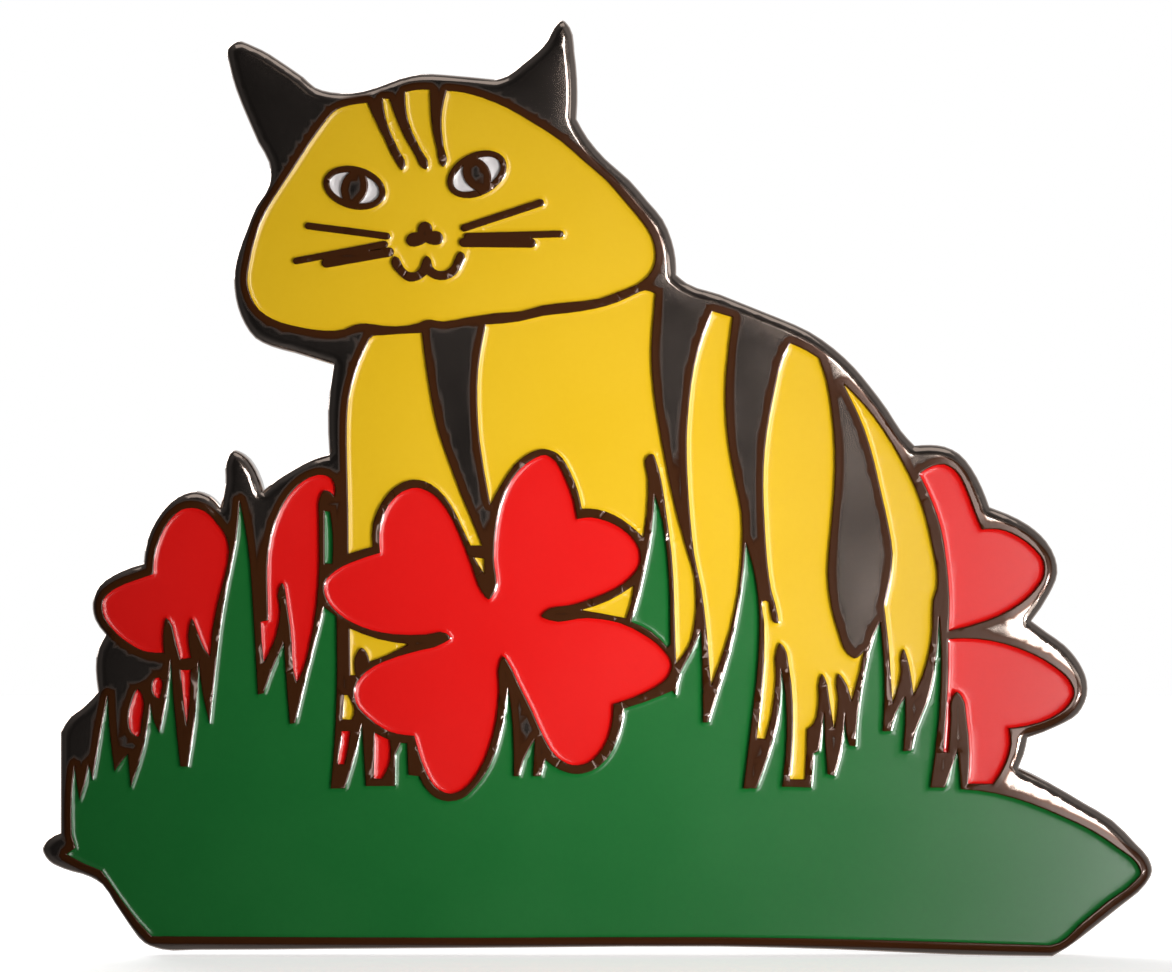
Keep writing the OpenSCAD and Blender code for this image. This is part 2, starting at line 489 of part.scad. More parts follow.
module grass_shape() {
    shape([
        // blades at the left edge
        [-17.77, -9.47, 1], [-17.47, -9.25, 1], [-17.6, -8.8, 1], [-17.6, -7.6], [-17.5, -6.53, 1],
        [-17.45, -7], [-17.33, -7.68, 1], [-17.15, -7.1], [-17.03, -6.5, 1], [-16.9, -7, 1],
        [-16.65, -5.5], [-16.4, -4.17, 1], [-16.33, -5.4], [-16.17, -6.7, 1], [-15.95, -6.4],
        [-15.73, -6.13, 1], [-15.63, -7.25, 1], [-15.2, -5.9], [-14.97, -4.47, 1],
        [-14.87, -5], [-14.67, -5.42, 1], [-14.45, -4.3], [-14.3, -3, 1], [-14.2, -4.4],
        [-13.98, -6.55, 1], [-13.73, -6.55, 1], [-13.5, -5], [-13.37, -3.03, 1], [-13.22, -4.2],
        [-13, -5.1, 1],
        // tall blade
        [-12.87, -3.9], [-12.65, -1.9], [-12.4, -0.4], [-12.12, 1], [-12, 2.3, 1],
        [-11.75, 1], [-11.6, -0.6], [-11.5, -2.3], [-11.4, -4.15, 1], [-11.2, -4.1, 1],
        [-10.95, -3.4], [-10.53, -2.43, 1], [-10.45, -3.7], [-10.33, -5.13, 1], [-10.15, -5.1, 1],
        [-9.8, -3.6], [-9.5, -2.4], [-9.2, -1.23, 1], [-8.78, -1.55, 1], [-8.76, -3.2],
        [-8.82, -5.3], [-8.97, -7.28, 1], [-8.5, -7.28, 1], [-8.15, -6.1], [-7.93, -5.13, 1],
        [-7.8, -7.2, 1], [-6.83, -7.2, 1], [-6.82, -6.17, 1], [-6.63, -5.77, 1], [-6.43, -5.77, 1],
        [-6.38, -6.83, 1], [-6.03, -6.87, 1],
        // under the front flower
        [-5.8, -7.28], [-5.45, -7.6], [-5.05, -7.71], [-4.6, -7.62], [-4.15, -7.23],
        [-3.65, -6.5], [-3.3, -5.4], [-3.15, -4.6], [-3.05, -3.93, 1], [-2.9, -5.3], [-2.87, -6.87, 1],
        [-2.7, -6.87, 1], [-2.55, -6.35], [-2.17, -5.65, 1], [-2.23, -6.87, 1], [-1.98, -6.87, 1],
        [-1.82, -6.32, 1], [-1.35, -6.65], [-0.8, -6.8], [-0.25, -6.68], [0.3, -6.2], [0.65, -5.4],
        [0.8, -4.62, 1], [1.4, -4.43], [2, -4.2], [2.42, -4.02, 1], [2.52, -4.15, 1],
        [2.67, -3.45], [3.05, -2.75], [3.37, -2, 1], [3.42, -3.3], [3.43, -5.08, 1], [3.6, -5.08, 1],
        [3.9, -4.1], [4.3, -2.75], [4.6, -1.3], [4.8, 0.1], [4.87, 0.9, 1], [5.1, 0.1],
        [5.27, -0.9], [5.27, -3], [5.07, -4.9], [4.78, -7.28, 1], [5.22, -7.28, 1],
        [5.6, -6.2], [5.9, -5.1], [6.05, -3.3, 1], [6.18, -4.2], [6.22, -5.5], [6.07, -7.22, 1],
        // behind the haunch
        [7.03, -7.25, 1], [7.12, -6.12, 1], [7.3, -6.03, 1], [7.47, -4.77, 1], [7.5, -5.7],
        [7.58, -6.8, 1], [7.8, -6.85, 1], [8.05, -5.9], [8.17, -4.77, 1], [8.2, -5.4],
        [8.33, -5.85, 1], [8.52, -5.87, 1], [8.6, -4.7], [8.83, -3.3], [9.1, -2.2],
        [9.33, -1.72, 1], [9.45, -3], [9.48, -4.3], [9.42, -5.37, 1], [9.68, -5.37, 1],
        [9.85, -4.8], [10.17, -4.23, 1], [10.17, -5.1], [10.1, -6.03, 1], [10.37, -6.03, 1],
        [10.5, -5.4], [10.9, -4.4], [11.15, -3.3], [11.3, -1.57, 1], [11.37, -3], [11.3, -4.8],
        [11, -7.25, 1], [11.5, -7.25, 1], [11.92, -6, 1], [12.03, -7.3, 1],
        // point and bottom
        [13.2, -7.45], [14.3, -7.77], [15.4, -8.22], [16.4, -8.7], [17.3, -9.3], [17.9, -9.8],
        [18.02, -10.08], [17.8, -10.38], [16.9, -11.05], [16, -11.8], [15.3, -12.42],
        [15, -12.5, 1], [9, -12.32], [4, -12.23], [-4, -12.25], [-14.93, -12.2, 1],
        [-15.35, -11.75], [-16, -10.9], [-16.6, -10.02, 1], [-17.2, -9.77]
    ]);
}

module blade_shape() {
    shape([[1.83, 2.5, 1], [1.72, 1.3], [1.5, 0.1], [1.3, -0.8], [1.05, -1.72, 1], [1.7, -2.03],
        [2.25, -2.57, 1], [2.35, -2.45, 1], [2.33, -1], [2.25, 0.4], [2.07, 1.7]]);
}

module sliver_shape() {
    shape([[-9.17, 1.95, 1], [-9, 1.95, 1], [-8.9, 1.1], [-8.92, 0.22, 1], [-9.17, 0.22, 1]]);
}

module all_cells() {
    face_shape();
    left_chest_shape();
    right_chest_shape();
    chest_triangle_shape();
    flank_front_shape();
    flank_rear_shape();
    haunch_shape();
    under_petal_shape();
    petal_chip_shape();
    petal_gap_shape();
    for (side = [-1, 1]) {
        eye_white_shape(left_eye, left_eye_tilt, side);
        eye_white_shape(right_eye, right_eye_tilt, side);
    }
    front_flower_shape();
    left_petal_shape();
    left_petal_long_chip_shape();
    left_petal_small_chip_shape();
    left_petal_strip_shape();
    inner_petal_shape();
    grass_chip_narrow_shape();
    grass_chip_wide_shape();
    right_upper_petal_shape();
    right_lower_petal_shape();
    grass_shape();
    blade_shape();
    sliver_shape();
}

// ---- plate and enamel ----

// Stands a flat drawing up, from one height above the back face over a thickness
module struck(from, thick) {
    rotate([90, 0, 0]) translate([0, art_rise, from]) linear_extrude(thick) children();
}

// Places children at a post, with their +Z pointing out of the back
module at_post(side) {
    translate([side * post_spacing / 2, 0, 0]) rotate([-90, 0, 0]) children();
}

module plate() {
    color(metal_colour) difference() {
        union() {
            struck(0, pocket_floor) silhouette();
            struck(pocket_floor, pocket_depth) difference() {
                silhouette();
                all_cells();
            }
        }
        for (side = [-1, 1])
            at_post(side) translate([0, 0, -seat_depth]) cylinder(h = 2 * seat_depth, r = foot_r + solder_w);
    }
}

module fill(colour) {
    color(colour) struck(pocket_floor, enamel_t) children();
}

// ---- posts ----

module post(side) {
    base = foot_t - seat_depth;
    groove = post_length - groove_back;
    shoulder = post_length - tip_length;
    color(metal_colour) at_post(side) rotate_extrude() polygon([
        [0, -seat_depth], [foot_r, -seat_depth], [foot_r, base], [post_r, base],
        [post_r, groove - groove_w / 2 - groove_depth], [post_r - groove_depth, groove - groove_w / 2],
        [post_r - groove_depth, groove + groove_w / 2], [post_r, groove + groove_w / 2 + groove_depth],
        [post_r, shoulder], [point_r, post_length], [0, post_length]
    ]);
}

module solder(side) {
    color(solder_colour) at_post(side) rotate_extrude() polygon([
        [foot_r, -seat_depth], [foot_r + solder_w, -seat_depth], [foot_r + solder_w, 0],
        [foot_r, foot_t - seat_depth]
    ]);
}

// ---- clutches ----

module at_clutch(side) {
    at_post(side) translate([0, 0, clutch_home]) children();
}

module dish(side) {
    inner_r = dish_r - lip_t;
    collar_r = collar_d / 2;
    color(clutch_colour) at_clutch(side) rotate_extrude($fn = 64) polygon([
        [bore_r, 0], [dish_r - lip_h, 0], [dish_r - lip_low, lip_low], [dish_r, lip_mid],
        [dish_r, lip_h], [inner_r, lip_h], [inner_r, lip_low + sheet_t],
        [inner_r - lip_low / 2, (lip_low + lip_mid) / 2], [dish_r - lip_h, sheet_t], [collar_r, sheet_t],
        [collar_r - collar_taper, collar_h], [bore_r, collar_h]
    ]);
}

// Bridge of the cap seen along the wings: an arch with rounded shoulders
module cap_section(w, h, r) {
    translate([-w / 2, 0]) square([w, h - r]);
    translate([-w / 2 + r, 0]) square([w - 2 * r, h]);
    for (s = [-1, 1]) translate([s * (w / 2 - r), h - r]) circle(r);
}

module cap(side) {
    color(clutch_colour) at_clutch(side) difference() {
        translate([-cap_l / 2, 0, sheet_t]) rotate([90, 0, 90]) linear_extrude(cap_l) difference() {
            cap_section(cap_w, cap_h - sheet_t, cap_shoulder);
            cap_section(cap_w - 2 * sheet_t, cap_h - 2 * sheet_t, cap_shoulder - sheet_t);
        }
        for (s = [-1, 1]) translate([s * hinge_out, cap_w / 2 + 1, hinge_up]) rotate([90, 0, 0])
            cylinder(h = cap_w + 2, r = hinge_pin_d / 2 + hinge_clearance);
    }
}

// Side view of a wing that lies toward +X: jaw, hinge barrel and finger tab
module wing_section() {
    barrel = barrel_d / 2;
    jaw_low = collar_h + jaw_lift;
    polygon([
        [jaw_gap, jaw_low], [jaw_gap + 2 * wing_t, jaw_low],
        [hinge_out, hinge_up - barrel / 2], [hinge_out + barrel / 2, hinge_up - barrel / 2],
        [wing_reach - tab_end, wing_rise - tab_end - wing_t], [wing_reach, wing_rise - wing_t / 2],
        [wing_reach, wing_rise], [wing_reach - wing_t, wing_rise],
        [wing_reach - tab_end - wing_t / 2, wing_rise - tab_end + wing_t / 4], [hinge_out, hinge_up + barrel],
        [hinge_out - barrel, hinge_up], [jaw_gap, jaw_low + jaw_h]
    ]);
    translate([hinge_out, hinge_up]) circle(barrel);
}

// One wing, where out is 1 for the wing toward +X and -1 for the other
module wing(side, out) {
    color(clutch_colour) at_clutch(side) scale([out, 1, 1]) {
        difference() {
            translate([0, wing_w / 2, 0]) rotate([90, 0, 0]) linear_extrude(wing_w) wing_section();
            cylinder(h = post_length, r = bore_r);
        }
        translate([hinge_out, cap_w / 2, hinge_up]) rotate([90, 0, 0])
            cylinder(h = cap_w, r = hinge_pin_d / 2);
    }
}

plate();
fill(yellow_colour) face_shape();  // face_yellow
fill(yellow_colour) left_chest_shape();  // left_chest_yellow
fill(yellow_colour) right_chest_shape();  // right_chest_yellow
fill(yellow_colour) chest_triangle_shape();  // chest_triangle_yellow
fill(yellow_colour) flank_front_shape();  // flank_front_yellow
fill(yellow_colour) flank_rear_shape();  // flank_rear_yellow
fill(yellow_colour) haunch_shape();  // haunch_yellow
fill(yellow_colour) under_petal_shape();  // under_petal_yellow
fill(yellow_colour) petal_chip_shape();  // petal_chip_yellow
fill(yellow_colour) petal_gap_shape();  // petal_gap_yellow
fill(white_colour) eye_white_shape(left_eye, left_eye_tilt, -1);  // left_eye_outer_white
fill(white_colour) eye_white_shape(left_eye, left_eye_tilt, 1);  // left_eye_inner_white
fill(white_colour) eye_white_shape(right_eye, right_eye_tilt, -1);  // right_eye_inner_white
fill(white_colour) eye_white_shape(right_eye, right_eye_tilt, 1);  // right_eye_outer_white
fill(red_colour) front_flower_shape();  // front_flower_red
fill(red_colour) left_petal_shape();  // left_petal_red
fill(red_colour) left_petal_long_chip_shape();  // left_petal_long_chip_red
fill(red_colour) left_petal_small_chip_shape();  // left_petal_small_chip_red
fill(red_colour) left_petal_strip_shape();  // left_petal_strip_red
fill(red_colour) inner_petal_shape();  // inner_petal_red
fill(red_colour) grass_chip_narrow_shape();  // grass_chip_narrow_red
fill(red_colour) grass_chip_wide_shape();  // grass_chip_wide_red
fill(red_colour) right_upper_petal_shape();  // right_upper_petal_red
fill(red_colour) right_lower_petal_shape();  // right_lower_petal_red
fill(green_colour) grass_shape();  // grass_green
fill(green_colour) blade_shape();  // blade_green
fill(green_colour) sliver_shape();  // sliver_green
post(-1);  // left_post
post(1);  // right_post
solder(-1);  // left_solder
solder(1);  // right_solder
dish(-1);  // left_dish
cap(-1);  // left_cap
wing(-1, -1);  // left_wing_outer
wing(-1, 1);  // left_wing_inner
dish(1);  // right_dish
cap(1);  // right_cap
wing(1, 1);  // right_wing_outer
wing(1, -1);  // right_wing_inner
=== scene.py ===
import math

import bmesh
import bpy
import numpy as np
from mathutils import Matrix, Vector
from mathutils.bvhtree import BVHTree


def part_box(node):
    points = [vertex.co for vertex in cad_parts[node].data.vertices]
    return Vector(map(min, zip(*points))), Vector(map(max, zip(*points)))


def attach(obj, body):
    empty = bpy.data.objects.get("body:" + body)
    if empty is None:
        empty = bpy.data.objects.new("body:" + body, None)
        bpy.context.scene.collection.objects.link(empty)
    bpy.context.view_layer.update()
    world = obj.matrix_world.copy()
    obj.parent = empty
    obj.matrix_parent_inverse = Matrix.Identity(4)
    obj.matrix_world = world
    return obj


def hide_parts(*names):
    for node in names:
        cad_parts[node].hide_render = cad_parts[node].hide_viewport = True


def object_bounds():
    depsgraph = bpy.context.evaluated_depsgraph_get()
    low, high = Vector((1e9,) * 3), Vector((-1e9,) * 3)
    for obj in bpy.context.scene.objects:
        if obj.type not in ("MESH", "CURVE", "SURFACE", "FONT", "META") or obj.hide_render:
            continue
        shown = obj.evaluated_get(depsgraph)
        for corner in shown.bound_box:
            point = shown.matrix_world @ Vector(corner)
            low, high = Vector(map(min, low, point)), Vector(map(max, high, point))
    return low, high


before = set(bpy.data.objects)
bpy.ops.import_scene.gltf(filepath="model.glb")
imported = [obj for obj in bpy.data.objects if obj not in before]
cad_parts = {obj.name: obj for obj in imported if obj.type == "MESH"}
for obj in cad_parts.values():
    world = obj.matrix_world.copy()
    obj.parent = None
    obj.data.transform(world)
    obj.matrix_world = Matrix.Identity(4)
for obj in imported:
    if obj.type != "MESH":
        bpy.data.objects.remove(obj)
cad_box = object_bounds()

# ---- camera, floor and light ----
# The pin stands upright on a pale table, seen straight on through a long lens. Two narrow
# lights and a dim card stand on its right, one hangs overhead, and one lights its back.
mm = 0.001
low = cad_box[0]
plate_low, plate_high = (Vector(corner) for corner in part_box("plate"))
view_shift = Vector((-0.39 * mm, 0, 0.08 * mm))
view_centre = (plate_low + plate_high) / 2 + view_shift
view_width = 40.1 * mm
lens = 180
sensor = 36
scene = bpy.context.scene
scene.view_settings.view_transform = "Standard"

eye = bpy.data.cameras.new("studio_camera")
eye.lens = lens
eye.sensor_width = sensor
camera = bpy.data.objects.new("studio_camera", eye)
camera.location = (view_centre.x, plate_low.y - view_width * lens / sensor, view_centre.z)
camera.rotation_euler = (math.radians(90), 0, 0)
eye.clip_start = 5 * mm
eye.clip_end = 5
scene.collection.objects.link(camera)
scene.camera = camera


def soft_light(name, place, wide, tall, glow, tint):
    """A flat lamp that faces the pin. Glow is how bright its surface looks."""
    light = bpy.data.lights.new(name, "AREA")
    light.shape = "RECTANGLE"
    light.size = wide
    light.size_y = tall
    light.energy = glow * math.pi * wide * tall
    light.color = tint
    holder = bpy.data.objects.new(name, light)
    holder.location = place
    holder.rotation_euler = (view_centre - Vector(place)).to_track_quat("-Z", "Y").to_euler()
    scene.collection.objects.link(holder)


soft_light("window", (0.10, -0.125, -0.02), 0.05, 0.12, 0.9, (1, 0.98, 0.95))
soft_light("doorway", (0.058, -0.208, 0.00), 0.045, 0.13, 7, (1, 0.99, 0.98))
soft_light("card", (0.11, -0.32, 0.02), 0.18, 0.30, 0.085, (1, 0.87, 0.75))
soft_light("overhead", (0.02, -0.08, 0.24), 0.26, 0.14, 0.5, (1, 0.97, 0.93))
soft_light("back_fill", (-0.12, 0.24, 0.12), 0.20, 0.20, 4, (1, 1, 1))

# A lamp on the right is narrowed to an upright oval a little right of the pin's middle, so
# that the left side falls off.
lamp_stretch = 1.6
lamp_light = bpy.data.lights.new("lamp", "SPOT")
lamp_light.energy = 1.55
lamp_light.spot_size = math.radians(9.8)
lamp_light.spot_blend = 1
lamp_light.shadow_soft_size = 12 * mm
lamp = bpy.data.objects.new("lamp", lamp_light)
lamp.location = (0.11, -0.15, -0.03)
lamp_aim = view_centre + Vector((2.5 * mm, 0, -1 * mm))
lamp.rotation_euler = (lamp_aim - lamp.location).to_track_quat("-Z", "Y").to_euler()
lamp.scale = (1, lamp_stretch, 1)
scene.collection.objects.link(lamp)


class Wire:
    """One socket of a material's nodes. Arithmetic on it adds Math nodes."""

    def __init__(self, nodes, socket=None):
        self.nodes = nodes
        self.socket = socket

    def add(self, kind, settings, sockets, out=0):
        node = self.nodes.new("ShaderNode" + kind)
        for name, value in settings.items():
            if name == "stops":
                node.color_ramp.elements[0].position = value[0][0]
                node.color_ramp.elements[0].color = value[0][1]
                node.color_ramp.elements[1].position = value[-1][0]
                node.color_ramp.elements[1].color = value[-1][1]
                for place, shade in value[1:-1]:
                    node.color_ramp.elements.new(place).color = shade
            else:
                setattr(node, name, value)
        for name, value in sockets.items():
            if isinstance(value, Wire):
                self.nodes.id_data.links.new(value.socket, node.inputs[name])
            else:
                node.inputs[name].default_value = value
        return Wire(self.nodes, node.outputs[out])

    def into(self, shader, name):
        self.nodes.id_data.links.new(self.socket, shader.inputs[name])

    def maths(self, operation, *values):
        return self.add("Math", {"operation": operation}, dict(enumerate(values)))

    def __add__(self, other):
        return self.maths("ADD", self, other)

    def __sub__(self, other):
        return self.maths("SUBTRACT", self, other)

    def __rsub__(self, other):
        return self.maths("SUBTRACT", other, self)

    def __mul__(self, other):
        return self.maths("MULTIPLY", self, other)

    __radd__ = __add__
    __rmul__ = __mul__


# The room is darkest round the camera, as behind a black cloth, brighter towards the right
# and behind the pin, and white to the camera's eye.
cloth_edge = -0.97
cloth_clear = -0.3
cloth_glow = 0.03
side_glow = 0.22
right_share = 0.42
back_starts = 0.25
back_full = 0.8
back_glow = 0.55
sky = bpy.data.worlds.new("studio")
sky.use_nodes = True
scene.world = sky
room = sky.node_tree.nodes["Background"]
air = Wire(sky.node_tree.nodes)
direction = air.add("TexCoord", {}, {}, "Generated")
facing = air.add("SeparateXYZ", {}, {"Vector": direction}, "Y")
rightness = air.add("SeparateXYZ", {}, {"Vector": direction}, "X")
side_light = air.add("MapRange", {"interpolation_type": "SMOOTHSTEP"}, {
    "Value": facing, "From Min": cloth_edge, "From Max": cloth_clear,
    "To Min": cloth_glow, "To Max": side_glow})
side_light = side_light * (rightness * right_share + (1 - right_share))
behind_light = air.add("MapRange", {"interpolation_type": "SMOOTHSTEP"}, {
    "Value": facing, "From Min": back_starts, "From Max": back_full,
    "To Min": 0, "To Max": back_glow})
side_light = side_light + behind_light
seen = air.add("LightPath", {}, {}, "Is Camera Ray")
room.inputs["Color"].default_value = (1, 1, 1, 1)
(side_light * (1 - seen) + seen).into(room, "Strength")


def new_finish(name, base, metallic, roughness):
    material = bpy.data.materials.new(name)
    material.use_nodes = True
    nodes = material.node_tree.nodes
    shader = nodes["Principled BSDF"]
    shader.inputs["Base Color"].default_value = (*base, 1)
    shader.inputs["Metallic"].default_value = metallic
    shader.inputs["Roughness"].default_value = roughness
    wire = Wire(nodes)
    place = wire.add("TexCoord", {}, {}, "Object")
    return material, shader, wire, place


table_top, table_shader, table_wire, table_place = new_finish("pale_table", (0.9, 0.9, 0.9), 0, 0.8)
table_shader.inputs["Emission Color"].default_value = (1, 1, 1, 1)
table_shader.inputs["Emission Strength"].default_value = 0.6
table_grain = table_wire.add("TexNoise", {}, {"Vector": table_place, "Scale": 900, "Detail": 3}, "Fac")
table_wire.add("Bump", {}, {"Height": table_grain, "Distance": 0.02 * mm, "Strength": 0.3}).into(
    table_shader, "Normal")
table_size = 250 * mm
top = bmesh.new()
bmesh.ops.create_circle(top, cap_ends=True, segments=96, radius=table_size)
bmesh.ops.translate(top, verts=top.verts, vec=(0, 0, low.z))
table_mesh = bpy.data.meshes.new("table")
top.to_mesh(table_mesh)
top.free()
table_mesh.materials.append(table_top)
table = bpy.data.objects.new("table", table_mesh)
table.visible_shadow = False
table.visible_diffuse = False
table.visible_glossy = False
scene.collection.objects.link(table)

# ---- struck plate ----
# A zinc alloy plate struck in a die, so the lines of the drawing stand up and the pockets
# between them are sunk. It is polished, plated black, and its rim is rounded by tumbling.
face_y = low.y
line_round = 0.035 * mm
rim_round = 0.36 * mm
rim_fall = 0.3 * mm
back_round = 0.08 * mm
dome_width = 1.0 * mm
dome_slope = 0.09
fringe_width = 0.36 * mm
bare_edge = 0.05 * mm
grid_step = 0.25 * mm
line_cuts = (0.3, 1, 1.5)
rim_cuts = (0.04, 0.15, 0.32, 0.6, 1, 1.08)
merge_gap = 0.0004 * mm
level_gap = 0.005 * mm
flat_enough = 0.99
quite_flat = 0.9999


def copy_of(node):
    shape = bmesh.new()
    shape.from_mesh(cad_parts[node].data)
    bmesh.ops.remove_doubles(shape, verts=shape.verts, dist=merge_gap)
    return shape


def faces_at(shape, level):
    """The faces that lie flat at one depth, with their edges and vertices."""
    faces = [f for f in shape.faces if abs(f.calc_center_median().y - level) < level_gap
             and abs(f.normal.y) > flat_enough]
    edges = dict.fromkeys(e for f in faces for e in f.edges)
    verts = dict.fromkeys(v for f in faces for v in f.verts)
    return faces, list(edges), list(verts)


def cut_rows(shape, faces, rows, axis):
    """Cuts a skin at each row. It is halved first, so that a cut looks only at its own part."""
    if not rows or not faces:
        return
    middle = len(rows) // 2
    point = Vector((0, 0, 0))
    point[axis] = rows[middle]
    across = Vector((0, 0, 0))
    across[axis] = 1
    edges = dict.fromkeys(e for f in faces for e in f.edges)
    cut = bmesh.ops.bisect_plane(
        shape, geom=faces + list(edges), dist=merge_gap, plane_co=point, plane_no=across)
    for part in cut["geom_cut"]:
        if isinstance(part, bmesh.types.BMEdge):
            part.seam = True
    faces = [part for part in cut["geom"] if isinstance(part, bmesh.types.BMFace)]
    beyond = [f.calc_center_median()[axis] > rows[middle] for f in faces]
    cut_rows(shape, [f for f, far in zip(faces, beyond) if not far], rows[:middle], axis)
    cut_rows(shape, [f for f, far in zip(faces, beyond) if far], rows[middle + 1:], axis)


def gridded(shape, level, step):
    """Cuts the flat skin at one depth into squares with whole sides, then into triangles."""
    for axis in (0, 2):
        faces, edges, verts = faces_at(shape, level)
        places = [v.co[axis] for v in verts]
        first = math.ceil(min(places) / step)
        last = math.floor(max(places) / step)
        cut_rows(shape, faces, [row * step for row in range(first, last + 1)], axis)
    faces, edges, verts = faces_at(shape, level)
    bmesh.ops.dissolve_limit(
        shape, angle_limit=math.radians(1), verts=verts, edges=edges, delimit={"SEAM"})
    for splitting in (True, True, False):
        faces, edges, verts = faces_at(shape, level)
        bmesh.ops.triangulate(shape, faces=faces, quad_method="BEAUTY", ngon_method="BEAUTY")
        faces, edges, verts = faces_at(shape, level)
        skin = set(faces)
        rims = {e for e in edges if not skin.issuperset(e.link_faces)}
        on_rim = {v for e in rims for v in e.verts}
        across = [e for e in edges if e not in rims and on_rim.issuperset(e.verts)]
        if splitting:
            bmesh.ops.subdivide_edges(shape, edges=across, cuts=1)


def outlines(shape, level):
    """The edges round a flat skin: first the outer outline, then all the others."""
    faces, edges, verts = faces_at(shape, level)
    skin = set(faces)
    rims = [e for e in edges if not skin.issuperset(e.link_faces)]
    at_vert = {}
    for e in rims:
        for v in e.verts:
            at_vert.setdefault(v, []).append(e)
    start = min(at_vert, key=lambda v: v.co.x)
    found = set(at_vert[start])
    waiting = list(found)
    while waiting:
        for v in waiting.pop().verts:
            for e in at_vert[v]:
                if e not in found:
                    found.add(e)
                    waiting.append(e)
    return [e for e in rims if e in found], [e for e in rims if e not in found]


def fence_along(rims):
    """Upright walls that stand on these edges, for finding how far away they are."""
    posts = []
    for e in rims:
        a, b = (v.co for v in e.verts)
        posts += [(a.x, -mm, a.z), (b.x, -mm, b.z), (b.x, mm, b.z), (a.x, mm, a.z)]
    return BVHTree.FromPolygons(posts, [range(k, k + 4) for k in range(0, len(posts), 4)])


def distance_to(verts, fence):
    """How far each vertex is from the nearest outline, measured in the face's plane."""
    return np.array([fence.find_nearest((v.co.x, 0, v.co.z))[3] for v in verts])


def cut_at_distances(shape, skin, fence, steps):
    """Cuts a skin along lines that run beside its outlines at these distances."""
    verts = [part for part in skin if isinstance(part, bmesh.types.BMVert)]
    for v, far in zip(verts, distance_to(verts, fence)):
        v.co.y = far
    for step in steps:
        cut = bmesh.ops.bisect_plane(
            shape, geom=skin, dist=merge_gap, plane_co=(0, step, 0), plane_no=(0, 1, 0))
        skin = cut["geom"]
    return skin


def made(shape, name, material, sharp=40, flat_back=False):
    """Turns a bmesh into a smooth-shaded object with its real corners kept sharp."""
    for f in shape.faces:
        f.smooth = True
    shape.normal_update()
    for e in shape.edges:
        e.smooth = len(e.link_faces) == 2 and e.calc_face_angle(0) < math.radians(sharp)
        if flat_back and len({f.normal.y > quite_flat for f in e.link_faces}) == 2:
            e.smooth = False
        e.seam = False
    mesh = bpy.data.meshes.new(name)
    shape.to_mesh(mesh)
    shape.free()
    mesh.materials.append(material)
    piece = bpy.data.objects.new(name, mesh)
    scene.collection.objects.link(piece)
    return piece


def rounded(far, width, fall):
    """Height lost beside an edge that is rounded over this width."""
    inside = np.clip(1 - far / width, 0, 1)
    return fall * (1 - np.sqrt(np.maximum(1 - inside ** 2, 0)))


broad_metal = (0.52, 0.43, 0.38)
# A dark brown for the metal beside the enamel: partly a real film of enamel on the lines, partly a
# painted reflection of the enamel's colour and of the dark room.
metal_with_film_and_reflection = (0.062, 0.018, 0.004)
blasted_metal = (0.19, 0.165, 0.15)
film_and_reflection_reach = 0.35
fringe_starts = 0.05
fringe_full = 0.5
blast_starts = plate_high.y - 0.1 * mm
blast_full = plate_high.y - 0.02 * mm
plating, plating_shader, wire, place = new_finish("black_plating", broad_metal, 1, 0.15)
# Near the enamel the front's colour is painted dark brown and made mostly non-metallic. This is partly a
# thin film of enamel that wets the edges of the lines, and partly a painted reflection of the enamel's
# colour and of the dark room round the camera.
nearness = wire.add("Attribute", {"attribute_name": "near_enamel"}, {}, "Fac")
film_and_reflection_mask = wire.add("MapRange", {"interpolation_type": "SMOOTHSTEP"}, {
    "Value": nearness, "From Max": film_and_reflection_reach})
fringe = wire.add("MapRange", {"interpolation_type": "SMOOTHSTEP"}, {
    "Value": nearness, "From Min": fringe_starts, "From Max": fringe_full})
front_shade = wire.add("Mix", {"data_type": "RGBA"}, {
    0: film_and_reflection_mask, 6: (*broad_metal, 1), 7: (*metal_with_film_and_reflection, 1)}, 2)
depth = wire.add("SeparateXYZ", {}, {"Vector": place}, "Y")
blasted = wire.add("MapRange", {}, {
    "Value": depth, "From Min": blast_starts, "From Max": blast_full})
wire.add("Mix", {"data_type": "RGBA"}, {
    0: blasted, 6: front_shade, 7: (*blasted_metal, 1)}, 2).into(plating_shader, "Base Color")
(1 - fringe * 0.8).into(plating_shader, "Metallic")
haze = wire.add("TexNoise", {}, {
    "Vector": place, "Scale": 260, "Detail": 4, "Roughness": 0.6}, "Fac")
fine = wire.add("TexNoise", {}, {"Vector": place, "Scale": 9000, "Detail": 2}, "Fac")
(haze * 0.10 + fine * 0.04 + fringe * 0.04 + blasted * 0.2 + 0.05).into(plating_shader, "Roughness")
pits = wire.add("TexNoise", {}, {"Vector": place, "Scale": 3000, "Detail": 3}, "Fac") * blasted
relief = haze * 0.6 + fine * 0.1 + pits * 0.8
wire.add("Bump", {}, {"Height": relief, "Distance": 0.02 * mm, "Strength": 0.35}).into(
    plating_shader, "Normal")

plate = copy_of("plate")
near_enamel = plate.verts.layers.float.new("near_enamel")
gridded(plate, face_y, grid_step)
outer_edges, pocket_edges = outlines(plate, face_y)
outer_rim = fence_along(outer_edges)
pocket_rims = fence_along(pocket_edges)
front_faces, front_edges, front_verts = faces_at(plate, face_y)
skin = front_faces + front_edges + front_verts
skin = cut_at_distances(plate, skin, pocket_rims, [line_round * part for part in line_cuts])
skin = cut_at_distances(plate, skin, outer_rim, [rim_round * part for part in rim_cuts])
front_verts = [p for p in skin if isinstance(p, bmesh.types.BMVert)]
from_rim = distance_to(front_verts, outer_rim)
from_pocket = distance_to(front_verts, pocket_rims)
fall = rounded(from_rim, rim_round, rim_fall) + rounded(from_pocket, line_round, line_round)
fall += dome_slope * dome_width / 2 * np.clip(1 - from_rim / dome_width, 0, 1) ** 2
